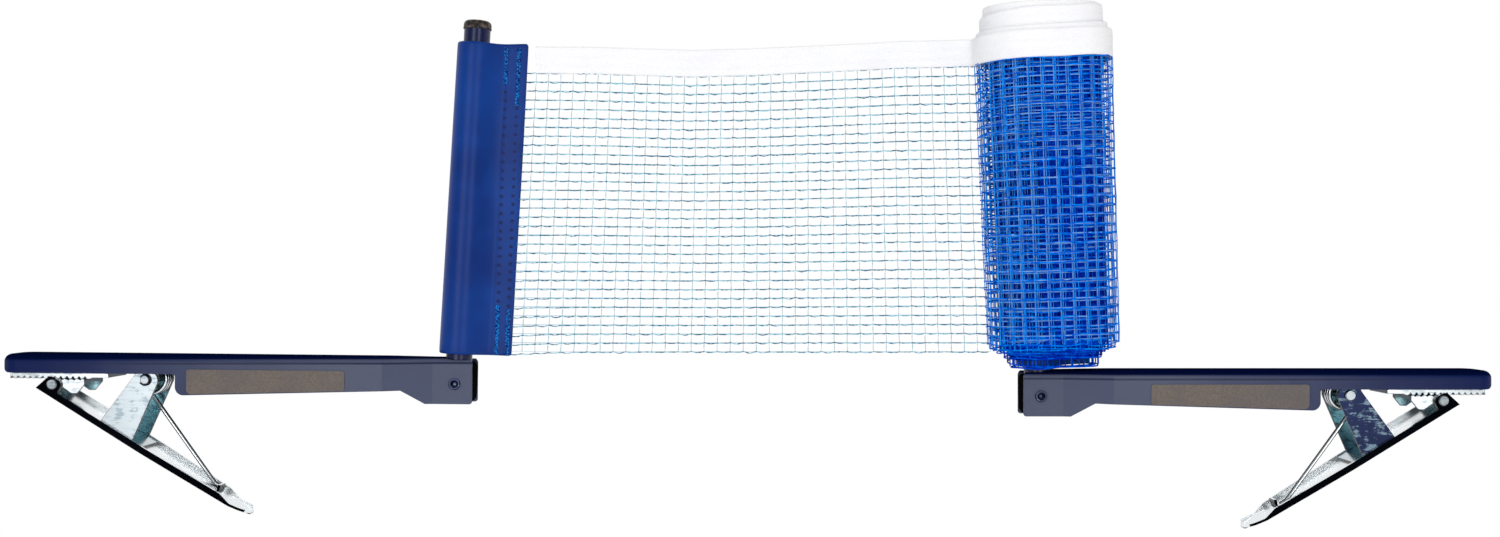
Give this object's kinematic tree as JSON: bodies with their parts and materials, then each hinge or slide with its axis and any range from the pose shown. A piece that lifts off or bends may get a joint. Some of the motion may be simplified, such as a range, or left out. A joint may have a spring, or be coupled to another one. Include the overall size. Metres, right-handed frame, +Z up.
{
  "type": "table tennis net clamp set",
  "caption": "Table tennis net with spring clip clamps: navy channel arms on folding posts, bright sprung levers with toothed jaws, blue net half rolled up on one post.",
  "frame": {"origin": "where the left clamp meets the corner of its table: the table's top plane at the ears that stop at the table's edge, half way across the clamp", "axes": "+Z up along the height of the net, +X along the net from the left post to the right post, -Y towards the viewer"},
  "size_m": [0.6777, 0.0447, 0.2407],
  "materials": {
    "arm": "gloss navy enamel",
    "label": "matt bare plate",
    "grip_strip": "bright zinc",
    "foot_rivet": "bright steel",
    "pivot_bracket": "plain zinc",
    "pivot_pin": "bright steel",
    "pivot_clip": "bright steel",
    "lever": "bright zinc",
    "lever_bracket": "bright zinc",
    "jaw_pin": "bright steel",
    "jaw_pad": "bright zinc",
    "spring": "bright spring steel",
    "foot_block": "black moulded",
    "post_tube": "gloss navy enamel",
    "post_cap": "black moulded",
    "sleeve": "blue coated vinyl",
    "net_mesh": "thin pale blue netting cord",
    "net_top_band": "white woven tape",
    "net_roll": "blue netting in many layers",
    "roll_band": "white woven tape"
  },
  "bodies": {
    "net": {"net_mesh": "net_mesh", "net_top_band": "net_top_band", "left_sleeve": "sleeve", "right_sleeve": "sleeve", "net_roll": "net_roll", "roll_band": "roll_band"},
    "left_post": {"left_post_tube": "post_tube", "left_post_cap": "post_cap", "left_foot_block": "foot_block"},
    "left_clamp": {"left_arm": "arm", "left_label": "label", "left_grip_strip": "grip_strip", "left_foot_rivet": "foot_rivet", "left_pivot_bracket": "pivot_bracket", "left_pivot_pin": "pivot_pin", "left_pivot_clip": "pivot_clip"},
    "left_handle": {"left_lever": "lever", "left_lever_bracket": "lever_bracket", "left_jaw_pin": "jaw_pin", "left_spring": "spring"},
    "left_jaw": {"left_jaw_pad": "jaw_pad"},
    "right_post": {"right_post_tube": "post_tube", "right_post_cap": "post_cap", "right_foot_block": "foot_block"},
    "right_clamp": {"right_arm": "arm", "right_label": "label", "right_grip_strip": "grip_strip", "right_foot_rivet": "foot_rivet", "right_pivot_bracket": "pivot_bracket", "right_pivot_pin": "pivot_pin", "right_pivot_clip": "pivot_clip"},
    "right_handle": {"right_lever": "lever", "right_lever_bracket": "lever_bracket", "right_jaw_pin": "jaw_pin", "right_spring": "spring"},
    "right_jaw": {"right_jaw_pad": "jaw_pad"}
  },
  "joints": [
    {"name": "left_post_turn", "type": "hinge", "parent": "net", "child": "left_post", "pos_m": [0.14439, 0, -0.00221], "axis": [0.0558, 0, 0.9984], "continuous": true},
    {"name": "left_post_fold", "type": "hinge", "parent": "left_post", "child": "left_clamp", "pos_m": [0.14439, 0, -0.00221], "axis": [0, -1, 0], "range_deg": [-2.6, 87.4]},
    {"name": "left_lever_open", "type": "hinge", "parent": "left_clamp", "child": "left_handle", "pos_m": [0.0047, 0, -0.00015], "axis": [0, -1, 0], "range_deg": [0, 28], "stiffness_Nm_per_rad": 2.4, "springref_deg": -34.38, "deforming": ["left_spring"]},
    {"name": "left_jaw_swivel", "type": "hinge", "parent": "left_handle", "child": "left_jaw", "pos_m": [-0.03704, 0, -0.00198], "axis": [0, 1, 0], "range_deg": [0, 28]},
    {"name": "right_post_turn", "type": "hinge", "parent": "net", "child": "right_post", "pos_m": [0.4112, 0, -0.0078], "axis": [-0.0349, 0, 0.9994], "continuous": true},
    {"name": "right_post_fold", "type": "hinge", "parent": "right_post", "child": "right_clamp", "pos_m": [0.4112, 0, -0.0078], "axis": [0, 1, 0], "range_deg": [-2, 88]},
    {"name": "right_lever_open", "type": "hinge", "parent": "right_clamp", "child": "right_handle", "pos_m": [0.5509, 0, -0.0072], "axis": [0, 1, 0], "range_deg": [0, 28], "stiffness_Nm_per_rad": 2.4, "springref_deg": -34.38, "deforming": ["right_spring"]},
    {"name": "right_jaw_swivel", "type": "hinge", "parent": "right_handle", "child": "right_jaw", "pos_m": [0.59262, 0, -0.00947], "axis": [0, -1, 0], "range_deg": [0, 28]}
  ]
}
